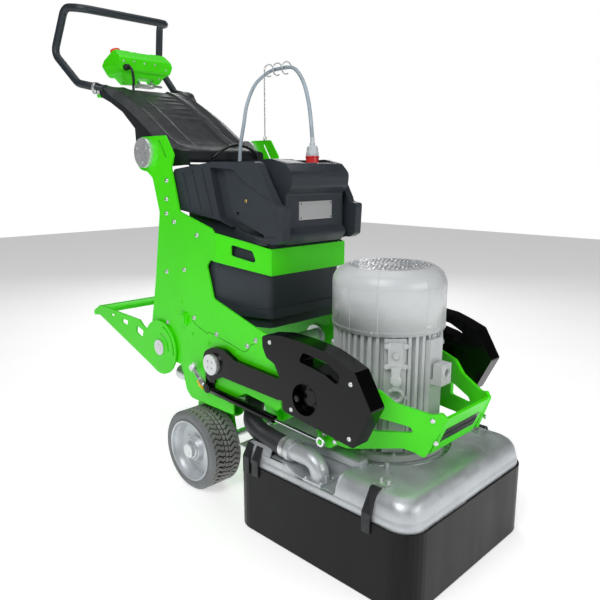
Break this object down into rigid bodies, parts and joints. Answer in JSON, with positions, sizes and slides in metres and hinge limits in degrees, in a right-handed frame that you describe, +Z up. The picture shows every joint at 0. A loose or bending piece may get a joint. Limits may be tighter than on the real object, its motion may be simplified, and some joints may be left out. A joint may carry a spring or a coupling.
{
  "type": "concrete grinder",
  "caption": "walk-behind planetary floor grinder: wheeled plate chassis, swing-arm grinding head with finned motor, dust skirt, flip weights, tanks and tilting handle",
  "frame": {"origin": "middle of the footprint on the floor, at the lowest point of the wheels and grinding discs", "axes": "+Z up; the grinding head points to -Y and the handle to +Y; +X is the machine's left-to-right width, seen from the handle"},
  "size_m": [0.64, 1.8098, 1.7119],
  "materials": {
    "green_paint": "gloss",
    "black_paint": "gloss",
    "dark_tube_paint": "satin",
    "bright_steel": "brushed",
    "aluminium": "satin",
    "cast_aluminium": "satin",
    "cast_iron": "matte",
    "dark_plastic": "matte",
    "black_plastic": "matte",
    "white_plastic": "gloss",
    "red_plastic": "gloss",
    "green_plastic": "gloss",
    "yellow_plastic": "gloss",
    "black_rubber": "matte",
    "skirt_rubber": "satin",
    "grey_cable": "satin",
    "tyre_rubber": "matte",
    "lamp_glass": "gloss",
    "motor_alloy": "satin"
  },
  "bodies": {
    "frame": {"side_plate_left": "green_paint", "side_plate_right": "green_paint", "tank_band": "green_paint", "chassis_deck": "green_paint", "rear_cabinet": "dark_plastic", "axle_brackets": "green_paint", "wheel_axle": "bright_steel", "water_tank": "dark_plastic", "tank_cover": "dark_plastic", "nameplate": "aluminium", "power_connector": "red_plastic", "power_lead": "grey_cable", "cable_boom": "bright_steel", "frame_bolts": "bright_steel", "arm_bushes": "bright_steel", "cross_tubes": "green_paint", "handle_pivots": "bright_steel", "friction_discs": "white_plastic", "dust_outlet": "aluminium"},
    "wheel_left": {"tyre_left": "tyre_rubber", "rim_left": "aluminium"},
    "wheel_right": {"tyre_right": "tyre_rubber", "rim_right": "aluminium"},
    "handle": {"handle_frame": "green_paint", "handle_cover": "black_plastic", "handlebar": "dark_tube_paint", "handlebar_clamps": "aluminium", "panel_bracket": "aluminium", "control_cables": "black_rubber"},
    "control_panel": {"control_box": "green_paint", "panel_face": "black_plastic"},
    "stop_button": {"emergency_stop": "red_plastic"},
    "speed_dial": {"speed_knob": "black_plastic"},
    "go_button": {"start_button": "green_plastic"},
    "arms": {"swing_arms": "black_paint", "arm_pivot_shaft": "bright_steel", "suction_hose": "black_rubber"},
    "cylinders": {"lift_cylinders": "black_paint", "lift_valve": "bright_steel"},
    "rods": {"lift_rods": "bright_steel"},
    "valve": {"valve_lever": "yellow_plastic"},
    "head": {"head_yoke": "green_paint", "head_light": "lamp_glass", "motor_housing": "motor_alloy", "motor_cowl": "motor_alloy", "head_cover": "cast_aluminium", "suction_elbow": "cast_aluminium", "cover_studs": "bright_steel", "skirt_straps": "black_rubber"},
    "dust_skirt": {"skirt": "skirt_rubber"},
    "rotor": {"motor_rotor": "bright_steel"},
    "carrier": {"planet_carrier": "cast_aluminium"},
    "disc_1": {"tool_disc_1": "cast_iron"},
    "disc_2": {"tool_disc_2": "cast_iron"},
    "disc_3": {"tool_disc_3": "cast_iron"},
    "flip_weight_left": {"weight_left": "black_paint"},
    "flip_weight_right": {"weight_right": "black_paint"},
    "lock_left": {"weight_lock_left": "bright_steel"},
    "lock_right": {"weight_lock_right": "bright_steel"},
    "pedal": {"foot_lever": "green_paint"}
  },
  "joints": [
    {"name": "wheel_left_spin", "type": "hinge", "parent": "frame", "child": "wheel_left", "pos_m": [0, 0.02, 0.138], "axis": [1, 0, 0], "continuous": true},
    {"name": "wheel_right_spin", "type": "hinge", "parent": "frame", "child": "wheel_right", "pos_m": [0, 0.02, 0.138], "axis": [1, 0, 0], "continuous": true},
    {"name": "handle_tilt", "type": "hinge", "parent": "frame", "child": "handle", "pos_m": [0, 0.274, 1.138], "axis": [1, 0, 0], "range_deg": [-40, 25]},
    {"name": "panel_tilt", "type": "hinge", "parent": "handle", "child": "control_panel", "pos_m": [0, 0.64, 1.412], "axis": [1, 0, 0], "range_deg": [-15, 15], "deforming": ["control_cables"]},
    {"name": "stop_press", "type": "slide", "parent": "control_panel", "child": "stop_button", "axis": [0, -0.3939, -0.9191], "range_m": [0, 0.005], "stiffness_N_per_m": 800, "springref_m": -0.002},
    {"name": "speed_turn", "type": "hinge", "parent": "control_panel", "child": "speed_dial", "pos_m": [0, 0.706, 1.522], "axis": [0, 0.3939, 0.9191], "range_deg": [-135, 135]},
    {"name": "start_press", "type": "slide", "parent": "control_panel", "child": "go_button", "axis": [0, -0.3939, -0.9191], "range_m": [0, 0.004], "stiffness_N_per_m": 500, "springref_m": -0.002},
    {"name": "arm_swing", "type": "hinge", "parent": "frame", "child": "arms", "pos_m": [0, -0.096, 0.468], "axis": [1, 0, 0], "range_deg": [-10, 3], "deforming": ["suction_hose"]},
    {"name": "head_float", "type": "hinge", "parent": "arms", "child": "head", "pos_m": [0, -0.565, 0.487], "axis": [1, 0, 0], "range_deg": [-6, 6], "deforming": ["suction_hose"]},
    {"name": "skirt_float", "type": "slide", "parent": "head", "child": "dust_skirt", "axis": [0, 0, 1], "range_m": [0, 0.012]},
    {"name": "carrier_spin", "type": "hinge", "parent": "head", "child": "carrier", "pos_m": [0, -0.595, 0.13], "axis": [0, 0, 1], "continuous": true},
    {"name": "rotor_spin", "type": "hinge", "parent": "head", "child": "rotor", "pos_m": [0, -0.595, 0.5], "axis": [0, 0, 1], "continuous": true},
    {"name": "disc_1_spin", "type": "hinge", "parent": "carrier", "child": "disc_1", "pos_m": [0, -0.725, 0.05], "axis": [0, 0, 1], "continuous": true},
    {"name": "disc_2_spin", "type": "hinge", "parent": "carrier", "child": "disc_2", "pos_m": [0.11258, -0.53, 0.05], "axis": [0, 0, 1], "continuous": true},
    {"name": "disc_3_spin", "type": "hinge", "parent": "carrier", "child": "disc_3", "pos_m": [-0.11258, -0.53, 0.05], "axis": [0, 0, 1], "continuous": true},
    {"name": "weight_swing_left", "type": "hinge", "parent": "arms", "child": "flip_weight_left", "pos_m": [-0.293, -0.565, 0.487], "axis": [1, 0, 0], "range_deg": [-80, 0]},
    {"name": "weight_swing_right", "type": "hinge", "parent": "arms", "child": "flip_weight_right", "pos_m": [0.293, -0.565, 0.487], "axis": [1, 0, 0], "range_deg": [-80, 0]},
    {"name": "lock_pull_left", "type": "slide", "parent": "flip_weight_left", "child": "lock_left", "axis": [-1, 0, 0], "range_m": [0, 0.008], "stiffness_N_per_m": 400, "springref_m": -0.004},
    {"name": "lock_pull_right", "type": "slide", "parent": "flip_weight_right", "child": "lock_right", "axis": [1, 0, 0], "range_m": [0, 0.008], "stiffness_N_per_m": 400, "springref_m": -0.004},
    {"name": "cylinder_swing", "type": "hinge", "parent": "arms", "child": "cylinders", "pos_m": [0, -0.058, 0.375], "axis": [1, 0, 0], "range_deg": [-1, 1]},
    {"name": "rod_slide", "type": "slide", "parent": "cylinders", "child": "rods", "axis": [0, -0.9986, -0.0532], "range_m": [-0.02, 0.02]},
    {"name": "valve_turn", "type": "hinge", "parent": "cylinders", "child": "valve", "pos_m": [-0.258, -0.03436, 0.39347], "axis": [0, 0.6157, -0.788], "range_deg": [0, 90]},
    {"name": "pedal_tilt", "type": "hinge", "parent": "frame", "child": "pedal", "pos_m": [0, 0.225, 0.458], "axis": [1, 0, 0], "range_deg": [-35, 10]}
  ],
  "couplings": [
    {"joint": "rotor_spin", "follows": "carrier_spin", "ratio": -12},
    {"joint": "disc_1_spin", "follows": "carrier_spin", "ratio": -3},
    {"joint": "disc_2_spin", "follows": "carrier_spin", "ratio": -3},
    {"joint": "disc_3_spin", "follows": "carrier_spin", "ratio": -3},
    {"joint": "cylinder_swing", "follows": "head_float", "ratio": 0.01456},
    {"joint": "rod_slide", "follows": "head_float", "m_per_rad": -0.1388}
  ]
}
